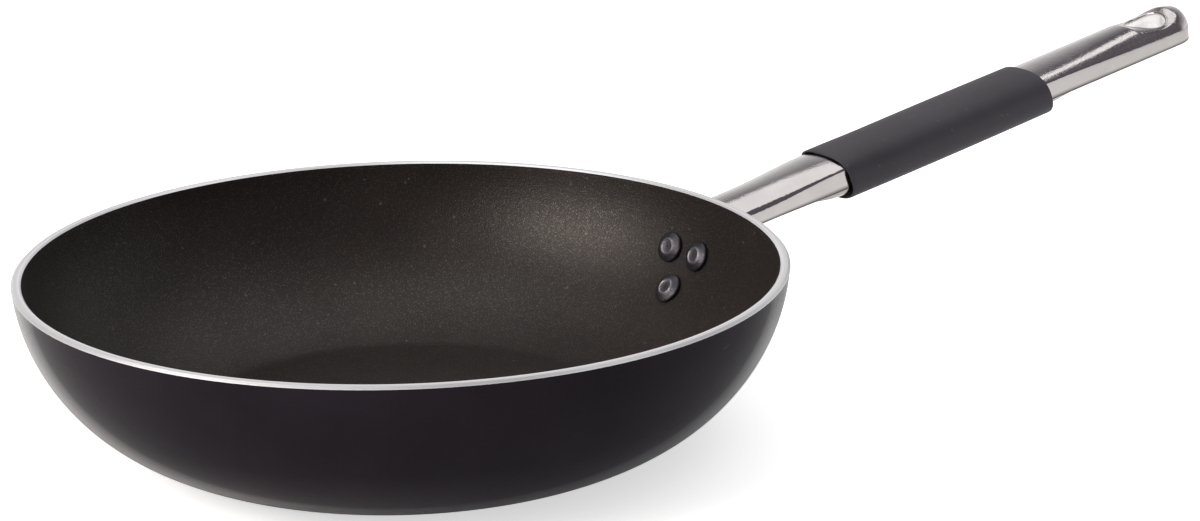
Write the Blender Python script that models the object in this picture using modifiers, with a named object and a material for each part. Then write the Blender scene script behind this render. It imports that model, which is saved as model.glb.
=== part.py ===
"""Deep frying pan: a thick aluminium bowl with a bare turned lip, and a long pressed steel
handle with a soft grip sleeve, held by three rivets.

Metres, +Z up. The origin is the middle of the base's underside, and the handle points along +X.
"""

import math

import bmesh
import bpy
from mathutils import Matrix, Vector

# Bowl
RIM_RADIUS = 0.140
PAN_HEIGHT = 0.065
BASE_RADIUS = 0.0803
RIM_LEAN = math.radians(3.8)
BASE_CORNER_RADIUS = 0.025
WALL_THICKNESS = 0.0036
BASE_THICKNESS = 0.0050
LIP_OUTER_BEVEL = 0.0009
LIP_INNER_BEVEL = 0.0006

# Rivets, placed on the bowl's inner face
UPPER_RIVET_DROP = 0.0220
LOWER_RIVET_DROP = 0.0355
UPPER_RIVET_SPACING = 0.0166
RIVET_SHANK_RADIUS = 0.0024
RIVET_HEAD_RADIUS = 0.0059
RIVET_HEAD_HEIGHT = 0.0024
RIVET_HEAD_EDGE = 0.0008
RIVET_BOSS_RADIUS = 0.0033
RIVET_BOSS_DISH_RADIUS = 0.0025
RIVET_BOSS_DISH_DEPTH = 0.0003
RIVET_TAIL_RADIUS = 0.0048
RIVET_TAIL_HEIGHT = 0.0020
RIVET_TAIL_ROUNDING = 0.0009
RIVET_DRILL_DEPTH = 0.0200

# Grip sleeve
SLEEVE_LENGTH = 0.1128
SLEEVE_THICKNESS = 0.0010
SLEEVE_END_ROUNDING = 0.0004
SLEEVE_END_SLANT = 0.22
SLEEVE_NEAR_HALF_HEIGHT = 0.0102
SLEEVE_FAR_HALF_HEIGHT = 0.0105
SLEEVE_CROWN = 0.0003
SLEEVE_LIFT = 0.0001
SLEEVE_HALF_WIDTH = 0.0151
SLEEVE_SQUARENESS = 2.3

# Handle: a pressed sheet, open below, whose sides wrap under the grip
SHEET_THICKNESS = 0.0015
HANDLE_RISE_ANGLE = math.radians(9.15)
GRIP_START_RADIUS = 0.2044
GRIP_START_HEIGHT = 0.0613
HANDLE_TIP_STATION = 0.2052
NOSE_LENGTH = 0.0115
NOSE_WIDTH_BLUNTNESS = 0.80
NOSE_HEIGHT_BLUNTNESS = 0.45
BELLY_SLOT = 0.0040
BELLY_TAPER_NEAR = 0.022
BELLY_TAPER_INSIDE = 0.014
BELLY_TAPER_FAR = 0.016
BELLY_SHARE_NEAR = 0.42
BELLY_SHARE_FAR = 0.20
NECK_FLARE_LENGTH = 0.010
NECK_FLARE_WIDTH = 0.0025
NECK_FLARE_HEIGHT = 0.0012

# Handle sections, each at a distance from the grip's near end: half width, crest height and
# lower edge height above the handle's line, and height of the straight side
NECK_SECTION = (-0.0450, 0.0124, 0.0085, -0.0020, 0.0058)
NECK_END_SECTION = (-0.0062, 0.0128, 0.0094, -0.0024, 0.0064)
GRIP_NEAR_SECTION = (-0.0032, 0.0126, 0.0088, -0.0026, 0.0064)
GRIP_FAR_SECTION = (SLEEVE_LENGTH, 0.0126, 0.0091, -0.0025, 0.0064)
TIP_SECTION = (0.1960, 0.0124, 0.0107, -0.0028, 0.0062)

# Mounting plate, pressed to the bowl's outside
PLATE_TOP_DROP = 0.0045
PLATE_EDGE_MARGIN = 0.0080
PLATE_TOP_HALF_WIDTH = 0.0140

# Hanging hole, egg-shaped, its edge pressed down
HOLE_STATION = 0.1840
HOLE_LENGTH = 0.0235
HOLE_WIDTH = 0.0155
HOLE_TAPER = 0.30
HOLE_POINT = 0.42
HOLE_DISH_DEPTH = 0.0028
HOLE_DISH_REACH = 1.50
HOLE_RIDGE_SIDE = 0.0092

# Fits
SEAT_CLEARANCE = 0.0003
HOLE_CLEARANCE = 0.0003
MERGE_DISTANCE = 0.00001
SCREW_MERGE = 0.0001

# Smoothness
BOWL_STEPS = 80
WALL_STEPS = 12
CORNER_STEPS = 3
RIVET_STEPS = 24
PLATE_COLUMNS = 9
PLATE_STEPS = 4
NOSE_STEPS = 8
DOME_STEPS = 18
BELLY_STEPS = 12
SECTION_COLUMNS = 13
HOLE_SIDES = 40
SLEEVE_SIDES = 44
SLEEVE_STEPS = 4
SETTLE_ROUNDS = 20


def mix(a, b, share):
    return a + (b - a) * share


def smooth(share):
    share = min(max(share, 0.0), 1.0)
    return share * share * (3.0 - 2.0 * share)


def clear_scene():
    for old in list(bpy.data.objects):
        bpy.data.objects.remove(old, do_unlink=True)


def new_collection(name):
    collection = bpy.data.collections.new(name)
    bpy.context.scene.collection.children.link(collection)
    return collection


def new_material(name, colour, roughness, metallic):
    material = bpy.data.materials.new(name)
    material.use_nodes = True
    shader = material.node_tree.nodes["Principled BSDF"]
    shader.inputs["Base Color"].default_value = (*colour, 1.0)
    shader.inputs["Roughness"].default_value = roughness
    shader.inputs["Metallic"].default_value = metallic
    return material


def new_object(name, mesh, collection, material=None):
    obj = bpy.data.objects.new(name, mesh)
    collection.objects.link(obj)
    if material:
        mesh.materials.append(material)
    return obj


def as_cutter(obj):
    obj.hide_render = True
    obj.display_type = "WIRE"
    return obj


def shade(obj, sharp_angle=math.radians(32.0)):
    obj.data.shade_smooth()
    obj.data.set_sharp_from_angle(angle=sharp_angle)


def turned(name, profile, steps, collection, material=None):
    """A profile of (radius, height) points turned round Z, running down its outer side."""
    mesh = bpy.data.meshes.new(name)
    points = [(radius, 0.0, height) for radius, height in profile]
    edges = [(i, i + 1) for i in range(len(points) - 1)]
    mesh.from_pydata(points, edges, [])
    obj = new_object(name, mesh, collection, material)
    screw = obj.modifiers.new("turn", "SCREW")
    screw.steps = steps
    screw.render_steps = steps
    screw.use_merge_vertices = True
    screw.merge_threshold = SCREW_MERGE
    screw.use_smooth_shade = True
    return obj


def add_boolean(obj, other, operation):
    modifier = obj.modifiers.new(other.name, "BOOLEAN")
    modifier.operation = operation
    modifier.solver = "EXACT"
    modifier.object = other
    return modifier


def grid_object(name, rows, collection, material=None):
    """An open sheet through rows of points; points that meet are merged."""
    bm = bmesh.new()
    lines = [[bm.verts.new(point) for point in row] for row in rows]
    for low, high in zip(lines, lines[1:]):
        for i in range(len(low) - 1):
            bm.faces.new((low[i], low[i + 1], high[i + 1], high[i]))
    bmesh.ops.remove_doubles(bm, verts=bm.verts, dist=MERGE_DISTANCE)
    mesh = bpy.data.meshes.new(name)
    bm.to_mesh(mesh)
    bm.free()
    return new_object(name, mesh, collection, material)


# Bowl wall: a large arc down from the rim, then a tighter corner arc into the flat base. A place
# on the wall is its sweep, the angle of its outward normal below the horizontal.


def wall_arc_radius():
    """The arc that leaves the rim at its lean and runs into the corner arc without a kink."""
    across = RIM_RADIUS - BASE_RADIUS
    down = PAN_HEIGHT - BASE_CORNER_RADIUS
    spare = across * math.cos(RIM_LEAN) - down * math.sin(RIM_LEAN) - BASE_CORNER_RADIUS
    return 0.5 * (across * across + down * down - BASE_CORNER_RADIUS * BASE_CORNER_RADIUS) / spare


WALL_ARC_RADIUS = wall_arc_radius()
WALL_CENTRE_RADIUS = RIM_RADIUS - WALL_ARC_RADIUS * math.cos(RIM_LEAN)
WALL_CENTRE_HEIGHT = PAN_HEIGHT + WALL_ARC_RADIUS * math.sin(RIM_LEAN)
SWEEP_END = math.asin(
    (WALL_CENTRE_HEIGHT - BASE_CORNER_RADIUS) / (WALL_ARC_RADIUS - BASE_CORNER_RADIUS)
)


def wall_point(sweep, offset=0.0):
    """Radius and height of a point of the wall's section, offset outwards from its outer face."""
    reach = WALL_ARC_RADIUS + offset
    radius = WALL_CENTRE_RADIUS + reach * math.cos(sweep)
    height = WALL_CENTRE_HEIGHT - reach * math.sin(sweep)
    return radius, height


def sweep_at_height(height, offset=0.0):
    return math.asin((WALL_CENTRE_HEIGHT - height) / (WALL_ARC_RADIUS + offset))


def wall_thickness(sweep):
    share = (sweep - RIM_LEAN) / (SWEEP_END - RIM_LEAN)
    return mix(WALL_THICKNESS, BASE_THICKNESS, smooth(share) ** 2)


def sweep_at_inner_drop(drop):
    """Where the wall's inner face lies this far below the rim."""
    sweep = sweep_at_height(PAN_HEIGHT - drop)
    for _ in range(SETTLE_ROUNDS):
        sweep = sweep_at_height(PAN_HEIGHT - drop, -wall_thickness(sweep))
    return sweep


def corner_arc(radius):
    points = []
    for i in range(1, CORNER_STEPS + 1):
        sweep = mix(SWEEP_END, 0.5 * math.pi, i / CORNER_STEPS)
        across = BASE_RADIUS + radius * math.cos(sweep)
        points.append((across, BASE_CORNER_RADIUS - radius * math.sin(sweep)))
    return points


def bowl_profile():
    sweeps = [mix(RIM_LEAN, SWEEP_END, i / WALL_STEPS) for i in range(1, WALL_STEPS + 1)]
    outer = [wall_point(sweep) for sweep in sweeps] + corner_arc(BASE_CORNER_RADIUS)
    inner = [wall_point(sweep, -wall_thickness(sweep)) for sweep in sweeps]
    inner += corner_arc(BASE_CORNER_RADIUS - BASE_THICKNESS)
    inner_rim_radius = RIM_RADIUS - WALL_THICKNESS
    lip = [
        (inner_rim_radius, PAN_HEIGHT - LIP_INNER_BEVEL),
        (inner_rim_radius + LIP_INNER_BEVEL, PAN_HEIGHT),
        (RIM_RADIUS - LIP_OUTER_BEVEL, PAN_HEIGHT),
        (RIM_RADIUS, PAN_HEIGHT - LIP_OUTER_BEVEL),
    ]
    return [(0.0, BASE_THICKNESS)] + inner[::-1] + lip + outer + [(0.0, 0.0)]


# Rivets


def rivet_places():
    """Name, turn round the bowl and wall sweep of each rivet."""
    upper = sweep_at_inner_drop(UPPER_RIVET_DROP)
    lower = sweep_at_inner_drop(LOWER_RIVET_DROP)
    radius = wall_point(upper, -wall_thickness(upper))[0]
    turn = math.asin(0.5 * UPPER_RIVET_SPACING / radius)
    return [
        ("rivet_upper_left", turn, upper),
        ("rivet_upper_right", -turn, upper),
        ("rivet_lower", 0.0, lower),
    ]


def rivet_matrix(turn, sweep):
    """Origin on the wall's inner face, local Z into the bowl."""
    radius, height = wall_point(sweep, -wall_thickness(sweep))
    place = Vector((radius, 0.0, height))
    inward = Vector((-math.cos(sweep), 0.0, math.sin(sweep)))
    turned_axes = inward.to_track_quat("Z", "Y").to_matrix().to_4x4()
    return Matrix.Rotation(turn, 4, "Z") @ Matrix.Translation(place) @ turned_axes


def head_seat(radius):
    """How far a flat head of this radius stands off the hollow of the wall."""
    hollow = WALL_ARC_RADIUS - WALL_THICKNESS
    return hollow - math.sqrt(hollow * hollow - radius * radius) + SEAT_CLEARANCE


def rivet_profile(sweep):
    seat = head_seat(RIVET_HEAD_RADIUS)
    top = seat + RIVET_HEAD_HEIGHT
    tail_seat = -(wall_thickness(sweep) + SEAT_CLEARANCE + SHEET_THICKNESS + SEAT_CLEARANCE)
    tail_end = tail_seat - RIVET_TAIL_HEIGHT
    return [
        (0.0, top - RIVET_BOSS_DISH_DEPTH),
        (RIVET_BOSS_DISH_RADIUS, top - RIVET_BOSS_DISH_DEPTH),
        (mix(RIVET_BOSS_DISH_RADIUS, RIVET_BOSS_RADIUS, 0.35), top),
        (mix(RIVET_BOSS_DISH_RADIUS, RIVET_BOSS_RADIUS, 0.8), top),
        (RIVET_BOSS_RADIUS, mix(seat, top, 0.86)),
        (mix(RIVET_BOSS_RADIUS, RIVET_HEAD_RADIUS, 0.55), mix(seat, top, 0.62)),
        (mix(RIVET_BOSS_RADIUS, RIVET_HEAD_RADIUS, 0.9), seat + 1.3 * RIVET_HEAD_EDGE),
        (RIVET_HEAD_RADIUS, seat + RIVET_HEAD_EDGE),
        (RIVET_HEAD_RADIUS, seat),
        (RIVET_SHANK_RADIUS, seat),
        (RIVET_SHANK_RADIUS, tail_seat),
        (RIVET_TAIL_RADIUS, tail_seat),
        (RIVET_TAIL_RADIUS, tail_end + RIVET_TAIL_ROUNDING),
        (RIVET_TAIL_RADIUS - RIVET_TAIL_ROUNDING, tail_end),
        (0.0, tail_end),
    ]


def rivet_hole_cutter(name, turn, sweep, collection):
    """A straight drill through the wall and the mounting plate."""
    radius = RIVET_SHANK_RADIUS + HOLE_CLEARANCE
    bm = bmesh.new()
    bmesh.ops.create_cone(
        bm,
        cap_ends=True,
        segments=RIVET_STEPS,
        radius1=radius,
        radius2=radius,
        depth=RIVET_DRILL_DEPTH,
    )
    mesh = bpy.data.meshes.new(name)
    bm.to_mesh(mesh)
    bm.free()
    cutter = as_cutter(new_object(name, mesh, collection))
    cutter.matrix_world = rivet_matrix(turn, sweep)
    return cutter


# Handle


HANDLE_ORIGIN = Vector((GRIP_START_RADIUS, 0.0, GRIP_START_HEIGHT))
HANDLE_ALONG = Vector((math.cos(HANDLE_RISE_ANGLE), 0.0, math.sin(HANDLE_RISE_ANGLE)))
HANDLE_UP = Vector((-math.sin(HANDLE_RISE_ANGLE), 0.0, math.cos(HANDLE_RISE_ANGLE)))
SIDEWAYS = Vector((0.0, 1.0, 0.0))
HANDLE_SECTIONS = [
    NECK_SECTION,
    NECK_END_SECTION,
    GRIP_NEAR_SECTION,
    GRIP_FAR_SECTION,
    TIP_SECTION,
]


def handle_point(station, side, up):
    return HANDLE_ORIGIN + HANDLE_ALONG * station + SIDEWAYS * side + HANDLE_UP * up


def section_at(station):
    """Half width, crest, lower edge and straight side, eased between the named sections."""
    if station <= HANDLE_SECTIONS[0][0]:
        return HANDLE_SECTIONS[0][1:]
    for low, high in zip(HANDLE_SECTIONS, HANDLE_SECTIONS[1:]):
        if station <= high[0]:
            share = smooth((station - low[0]) / (high[0] - low[0]))
            return tuple(mix(a, b, share) for a, b in zip(low[1:], high[1:]))
    return HANDLE_SECTIONS[-1][1:]


def belly_share(station):
    """How much of the underside the sheet closes: all of it inside the grip, none at the ends."""
    beyond = station - SLEEVE_LENGTH
    if station < 0.0:
        return BELLY_SHARE_NEAR * smooth(1.0 + station / BELLY_TAPER_NEAR)
    if beyond > 0.0:
        return BELLY_SHARE_FAR * smooth(1.0 - beyond / BELLY_TAPER_FAR)
    near = mix(BELLY_SHARE_NEAR, 1.0, smooth(station / BELLY_TAPER_INSIDE))
    far = mix(BELLY_SHARE_FAR, 1.0, smooth(-beyond / BELLY_TAPER_INSIDE))
    return min(near, far)


def sleeve_half_height(station):
    share = min(max(station / SLEEVE_LENGTH, 0.0), 1.0)
    straight = mix(SLEEVE_NEAR_HALF_HEIGHT, SLEEVE_FAR_HALF_HEIGHT, share)
    return straight + SLEEVE_CROWN * math.sin(math.pi * share)


def belly_points(station, half_width, edge):
    """The sheet's outline below the straight side, an oval inside the sleeve's bore."""
    closed = belly_share(station + SLEEVE_END_SLANT * edge)
    if closed <= 0.0:
        return []
    bore = sleeve_half_height(station) - SLEEVE_THICKNESS - SLEEVE_LIFT
    height = bore - 2.0 * SEAT_CLEARANCE
    start = math.asin(-edge / height)
    width = half_width / math.cos(start)
    reach = (math.acos(0.5 * BELLY_SLOT / width) - start) * closed
    angles = [start + reach * i / BELLY_STEPS for i in range(1, BELLY_STEPS + 1)]
    return [(width * math.cos(angle), -height * math.sin(angle)) for angle in angles]


def half_section(station, shrink, flare):
    """One side of the sheet's outer outline, from the crest down and round to its edge."""
    half_width, crest, edge, straight = section_at(station)
    half_width = half_width * shrink**NOSE_WIDTH_BLUNTNESS + flare * NECK_FLARE_WIDTH
    shoulder = edge + straight
    dome = (crest - shoulder) * shrink**NOSE_HEIGHT_BLUNTNESS + flare * NECK_FLARE_HEIGHT
    points = []
    for i in range(DOME_STEPS + 1):
        angle = 0.5 * math.pi * i / DOME_STEPS
        points.append((half_width * math.sin(angle), shoulder + dome * math.cos(angle)))
    points.append((half_width, mix(shoulder, edge, 0.5)))
    points.append((half_width, edge))
    return points + belly_points(station, half_width, edge)


def spaced(points, count):
    """The same outline through count points, evenly spaced along it."""
    lengths = [0.0]
    for a, b in zip(points, points[1:]):
        lengths.append(lengths[-1] + math.dist(a, b))
    result = []
    for i in range(count):
        target = lengths[-1] * i / (count - 1)
        k = 1
        while k < len(lengths) - 1 and lengths[k] < target:
            k += 1
        span = lengths[k] - lengths[k - 1]
        share = (target - lengths[k - 1]) / span if span > 0.0 else 0.0
        a, b = points[k - 1], points[k]
        result.append((mix(a[0], b[0], share), mix(a[1], b[1], share)))
    return result


def hole_half_width(share):
    """Half width of the hanging hole at a share of its half length, widest towards the tip."""
    round_end = math.sqrt(max(1.0 - share * share, 0.0))
    pointed_end = (0.5 * (1.0 + share)) ** HOLE_POINT
    return 0.5 * HOLE_WIDTH * (1.0 + HOLE_TAPER * share) * pointed_end * round_end


def dish(station, side):
    """How far the top is pressed down: fully at the hole's outline, not at all past its ridge."""
    share = (station - HOLE_STATION) / (0.5 * HOLE_LENGTH)
    edge = hole_half_width(min(max(share, -1.0), 1.0))
    lengthwise = (abs(share) - 1.0) / (HOLE_DISH_REACH - 1.0)
    sideways = (abs(side) - edge) / (HOLE_RIDGE_SIDE - edge)
    away = math.hypot(max(lengthwise, 0.0), max(sideways, 0.0))
    return HOLE_DISH_DEPTH * (1.0 - smooth(away))


def plate_radius(height):
    """Radius of the mounting plate's middle surface at a height."""
    offset = SEAT_CLEARANCE + 0.5 * SHEET_THICKNESS
    return wall_point(sweep_at_height(height, offset), offset)[0]


def neck_start(side, up):
    """Where the line of a section point meets the plate."""
    station = NECK_SECTION[0]
    for _ in range(SETTLE_ROUNDS):
        point = handle_point(station, side, up)
        gap = math.hypot(point.x, point.y) - plate_radius(point.z)
        station -= gap / math.cos(HANDLE_RISE_ANGLE)
    return station


def station_list():
    """Stations along the handle: close together at the neck, the hole and the nose."""
    nose_start = HANDLE_TIP_STATION - NOSE_LENGTH
    first = neck_start(0.0, 0.0)
    marks = [
        (first, 1),
        (first + NECK_FLARE_LENGTH, 4),
        (-BELLY_TAPER_NEAR, 2),
        (NECK_END_SECTION[0], 4),
        (0.0, 2),
        (BELLY_TAPER_INSIDE, 3),
        (SLEEVE_LENGTH - BELLY_TAPER_INSIDE, 4),
        (SLEEVE_LENGTH, 3),
        (SLEEVE_LENGTH + BELLY_TAPER_FAR, 3),
        (HOLE_STATION - 0.5 * HOLE_DISH_REACH * HOLE_LENGTH, 3),
        (nose_start, 18),
    ]
    stations = [first]
    for (low, _), (high, steps) in zip(marks, marks[1:]):
        stations += [mix(low, high, i / steps) for i in range(1, steps + 1)]
    return stations


def handle_outline(station, shrink, flare):
    half = spaced(half_section(station, shrink, flare), SECTION_COLUMNS)
    return half[::-1] + [(-side, up) for side, up in half[1:]]


def neck_row(station, first):
    """A row near the plate, which follows the plate's curve less and less."""
    share = max(0.0, 1.0 - (station - first) / NECK_FLARE_LENGTH)
    row = []
    for side, up in handle_outline(station, 1.0, share**2):
        at = station + (neck_start(side, up) - first) * share
        row.append(handle_point(at, side, up))
    return row


def handle_row(station, shrink):
    outline = handle_outline(station, shrink, 0.0)
    return [handle_point(station, side, up - dish(station, side)) for side, up in outline]


def handle_rows():
    stations = station_list()
    first = stations[0]
    rows = [neck_row(station, first) for station in stations if station < 0.0]
    rows += [handle_row(station, 1.0) for station in stations if station >= 0.0]
    for i in range(1, NOSE_STEPS + 1):
        angle = 0.5 * math.pi * i / NOSE_STEPS
        station = stations[-1] + NOSE_LENGTH * math.sin(angle)
        rows.append(handle_row(station, max(math.cos(angle), 0.0)))
    return rows


def plate_half_width(drop, upper_drop, lower_drop):
    """Half width of the plate at a distance down the wall."""
    upper_width = 0.5 * UPPER_RIVET_SPACING + PLATE_EDGE_MARGIN
    if drop <= upper_drop:
        share = smooth((drop - PLATE_TOP_DROP) / (upper_drop - PLATE_TOP_DROP))
        return mix(PLATE_TOP_HALF_WIDTH, upper_width, share)
    if drop <= lower_drop:
        share = smooth((drop - upper_drop) / (lower_drop - upper_drop))
        return mix(upper_width, PLATE_EDGE_MARGIN, share)
    below = min((drop - lower_drop) / PLATE_EDGE_MARGIN, 1.0)
    return PLATE_EDGE_MARGIN * math.sqrt(1.0 - below * below)


def plate_rows():
    places = rivet_places()
    upper_drop = PAN_HEIGHT - wall_point(places[0][2])[1]
    lower_drop = PAN_HEIGHT - wall_point(places[2][2])[1]
    shares = [i / PLATE_STEPS for i in range(PLATE_STEPS + 1)]
    drops = [mix(PLATE_TOP_DROP, upper_drop, share) for share in shares]
    drops += [mix(upper_drop, lower_drop, share) for share in shares[1:]]
    for share in shares[1:]:
        drops.append(lower_drop + PLATE_EDGE_MARGIN * math.sin(0.5 * math.pi * share))
    offset = SEAT_CLEARANCE + 0.5 * SHEET_THICKNESS
    rows = []
    for drop in drops:
        radius, height = wall_point(sweep_at_height(PAN_HEIGHT - drop), offset)
        reach = plate_half_width(drop, upper_drop, lower_drop) / radius
        row = []
        for i in range(PLATE_COLUMNS):
            turn = mix(-reach, reach, i / (PLATE_COLUMNS - 1))
            row.append(Vector((radius * math.cos(turn), radius * math.sin(turn), height)))
        rows.append(row)
    return rows


def hanging_hole_cutter(collection):
    """The hole's flat outline, pushed square through the top of the handle."""
    curve = bpy.data.curves.new("hanging_hole_outline", "CURVE")
    curve.dimensions = "2D"
    curve.fill_mode = "BOTH"
    curve.extrude = TIP_SECTION[2]
    spline = curve.splines.new("POLY")
    spline.points.add(HOLE_SIDES - 1)
    for i in range(HOLE_SIDES):
        angle = 2.0 * math.pi * i / HOLE_SIDES
        share = math.cos(angle)
        across = math.copysign(hole_half_width(share), math.sin(angle))
        spline.points[i].co = (0.5 * HOLE_LENGTH * share, across, 0.0, 1.0)
    spline.use_cyclic_u = True
    outline = bpy.data.objects.new("hanging_hole_outline", curve)
    collection.objects.link(outline)
    place = handle_point(HOLE_STATION, 0.0, TIP_SECTION[2])
    axes = Matrix((HANDLE_ALONG, SIDEWAYS, HANDLE_UP)).transposed().to_4x4()
    outline.matrix_world = Matrix.Translation(place) @ axes
    bpy.context.view_layer.update()
    evaluated = outline.evaluated_get(bpy.context.evaluated_depsgraph_get())
    mesh = bpy.data.meshes.new_from_object(evaluated)
    bm = bmesh.new()
    bm.from_mesh(mesh)
    bmesh.ops.remove_doubles(bm, verts=bm.verts, dist=MERGE_DISTANCE)
    bmesh.ops.recalc_face_normals(bm, faces=bm.faces)
    bm.to_mesh(mesh)
    bm.free()
    cutter = as_cutter(new_object("hanging_hole_cutter", mesh, collection))
    cutter.matrix_world = outline.matrix_world.copy()
    bpy.data.objects.remove(outline, do_unlink=True)
    return cutter


def squared(share):
    """A sine or cosine, filled out so that a round outline becomes a squarer one."""
    return math.copysign(abs(share) ** (2.0 / SLEEVE_SQUARENESS), share)


def sleeve_ring(station, inset):
    """A squared oval, drawn in from the sleeve's outer surface and leaning as its ends do."""
    wide = SLEEVE_HALF_WIDTH - inset
    high = sleeve_half_height(station) - inset
    ring = []
    for i in range(SLEEVE_SIDES + 1):
        angle = 2.0 * math.pi * i / SLEEVE_SIDES
        side = -wide * squared(math.sin(angle))
        up = SLEEVE_LIFT + high * squared(math.cos(angle))
        ring.append(handle_point(station - SLEEVE_END_SLANT * up, side, up))
    return ring


def sleeve_rows():
    """Outside from near to far end, round the far lip, back through the bore, and closed."""
    rounding = SLEEVE_END_ROUNDING
    middle = (1.0 - math.sqrt(0.5)) * rounding
    end = SLEEVE_LENGTH
    shares = [i / SLEEVE_STEPS for i in range(SLEEVE_STEPS + 1)]
    path = [(mix(rounding, end - rounding, share), 0.0) for share in shares]
    path += [(end - middle, middle), (end, rounding)]
    path += [(mix(end, 0.0, share), SLEEVE_THICKNESS) for share in shares]
    path += [(0.0, rounding), (middle, middle), (rounding, 0.0)]
    return [sleeve_ring(station, inset) for station, inset in path]


def main():
    clear_scene()
    parts = new_collection("deep_frying_pan")
    cutters = new_collection("cutters")

    coated = new_material("non_stick_aluminium", (0.018, 0.017, 0.017), 0.42, 0.1)
    steel = new_material("polished_steel", (0.62, 0.61, 0.60), 0.14, 1.0)
    silicone = new_material("grip_silicone", (0.035, 0.034, 0.037), 0.62, 0.0)
    rivet_metal = new_material("rivet_aluminium", (0.11, 0.105, 0.11), 0.38, 0.8)

    pan_body = turned("pan_body", bowl_profile(), BOWL_STEPS, parts, coated)

    handle = grid_object("handle", handle_rows(), parts, steel)
    wall = handle.modifiers.new("sheet", "SOLIDIFY")
    wall.thickness = SHEET_THICKNESS
    wall.offset = -1.0
    wall.use_even_offset = True

    plate = as_cutter(grid_object("mounting_plate_form", plate_rows(), cutters))
    plate_wall = plate.modifiers.new("sheet", "SOLIDIFY")
    plate_wall.thickness = SHEET_THICKNESS
    plate_wall.offset = 0.0
    plate_wall.use_even_offset = True

    add_boolean(handle, plate, "UNION")
    add_boolean(handle, hanging_hole_cutter(cutters), "DIFFERENCE")

    for name, turn, sweep in rivet_places():
        rivet = turned(name, rivet_profile(sweep), RIVET_STEPS, parts, rivet_metal)
        rivet.matrix_world = rivet_matrix(turn, sweep)
        drill = rivet_hole_cutter(name + "_drill", turn, sweep, cutters)
        add_boolean(pan_body, drill, "DIFFERENCE")
        add_boolean(handle, drill, "DIFFERENCE")

    sleeve = grid_object("grip_sleeve", sleeve_rows(), parts, silicone)

    for obj in (handle, sleeve):
        shade(obj)


main()
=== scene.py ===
import math

import bmesh
import bpy
from mathutils import Matrix, Vector


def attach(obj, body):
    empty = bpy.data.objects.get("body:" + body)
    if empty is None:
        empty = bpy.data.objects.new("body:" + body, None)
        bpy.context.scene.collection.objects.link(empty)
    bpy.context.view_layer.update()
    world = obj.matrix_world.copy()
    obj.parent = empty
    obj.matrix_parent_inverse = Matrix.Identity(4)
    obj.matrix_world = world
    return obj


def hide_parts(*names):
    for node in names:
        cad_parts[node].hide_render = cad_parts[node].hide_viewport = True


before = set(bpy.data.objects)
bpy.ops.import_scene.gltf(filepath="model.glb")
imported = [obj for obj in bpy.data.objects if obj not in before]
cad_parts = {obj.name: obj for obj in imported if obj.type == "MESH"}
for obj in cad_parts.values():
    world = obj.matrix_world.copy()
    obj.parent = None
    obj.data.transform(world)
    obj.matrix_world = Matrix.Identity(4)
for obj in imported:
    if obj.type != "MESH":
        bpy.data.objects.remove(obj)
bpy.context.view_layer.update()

print("frame loaded:", ", ".join(sorted(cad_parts)))

weldDistance = 0.000005


def selectOnly(piece):
    bpy.ops.object.select_all(action="DESELECT")
    piece.select_set(True)
    bpy.context.view_layer.objects.active = piece


def startEdit(piece, kind="VERT"):
    selectOnly(piece)
    bpy.ops.object.mode_set(mode="EDIT")
    bpy.ops.mesh.select_mode(type=kind)
    bpy.ops.mesh.select_all(action="DESELECT")


def endEdit():
    bpy.ops.object.mode_set(mode="OBJECT")


def pickFaces(piece, wanted):
    # faces are picked by their place and the way they face
    mesh = bmesh.from_edit_mesh(piece.data)
    for face in mesh.faces:
        if wanted(face.calc_center_median(), face.normal):
            face.select_set(True)
    bmesh.update_edit_mesh(piece.data)


def applyAll(piece):
    selectOnly(piece)
    for modifier in list(piece.modifiers):
        bpy.ops.object.modifier_apply(modifier=modifier.name)


def smoothOver(piece, degrees=35):
    selectOnly(piece)
    bpy.ops.object.shade_smooth_by_angle(angle=math.radians(degrees))


def settle(piece, place):
    # the piece's place goes into its mesh, and its object stays at the origin
    piece.matrix_world = place
    selectOnly(piece)
    bpy.ops.object.transform_apply(location=True, rotation=True, scale=True)


def giveMaterials(piece, *materials):
    piece.data.materials.clear()
    for material in materials:
        piece.data.materials.append(material)


def paintFaces(piece, number, wanted):
    startEdit(piece, "FACE")
    pickFaces(piece, wanted)
    piece.active_material_index = number
    bpy.ops.object.material_slot_assign()
    endEdit()


def turnedPiece(name, outline, steps):
    # one corner is drawn out along the outline, and the line is spun round Z
    bpy.ops.mesh.primitive_plane_add(size=0.01)
    piece = bpy.context.object
    piece.name = name
    piece.data.name = name
    startEdit(piece)
    bpy.ops.mesh.select_all(action="SELECT")
    bpy.ops.mesh.merge(type="CENTER")
    bpy.ops.transform.translate(value=(outline[0][0], 0.0, outline[0][1]))
    for start, end in zip(outline, outline[1:]):
        step = (end[0] - start[0], 0.0, end[1] - start[1])
        bpy.ops.mesh.extrude_region_move(TRANSFORM_OT_translate={"value": step})
    bpy.ops.mesh.select_all(action="SELECT")
    bpy.ops.mesh.spin(steps=steps, angle=math.tau, center=(0, 0, 0), axis=(0, 0, 1))
    bpy.ops.mesh.select_all(action="SELECT")
    bpy.ops.mesh.remove_doubles(threshold=weldDistance)
    bpy.ops.mesh.normals_make_consistent(inside=False)
    endEdit()
    return piece


def between(a, b, share):
    return a + (b - a) * share


def eased(share):
    share = min(max(share, 0.0), 1.0)
    return share * share * (3.0 - 2.0 * share)


# Shader helpers

def addNode(tree, kind, **settings):
    node = tree.nodes.new(kind)
    for name, value in settings.items():
        setattr(node, name, value)
    return node


def wire(tree, source, target):
    tree.links.new(source, target)


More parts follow.
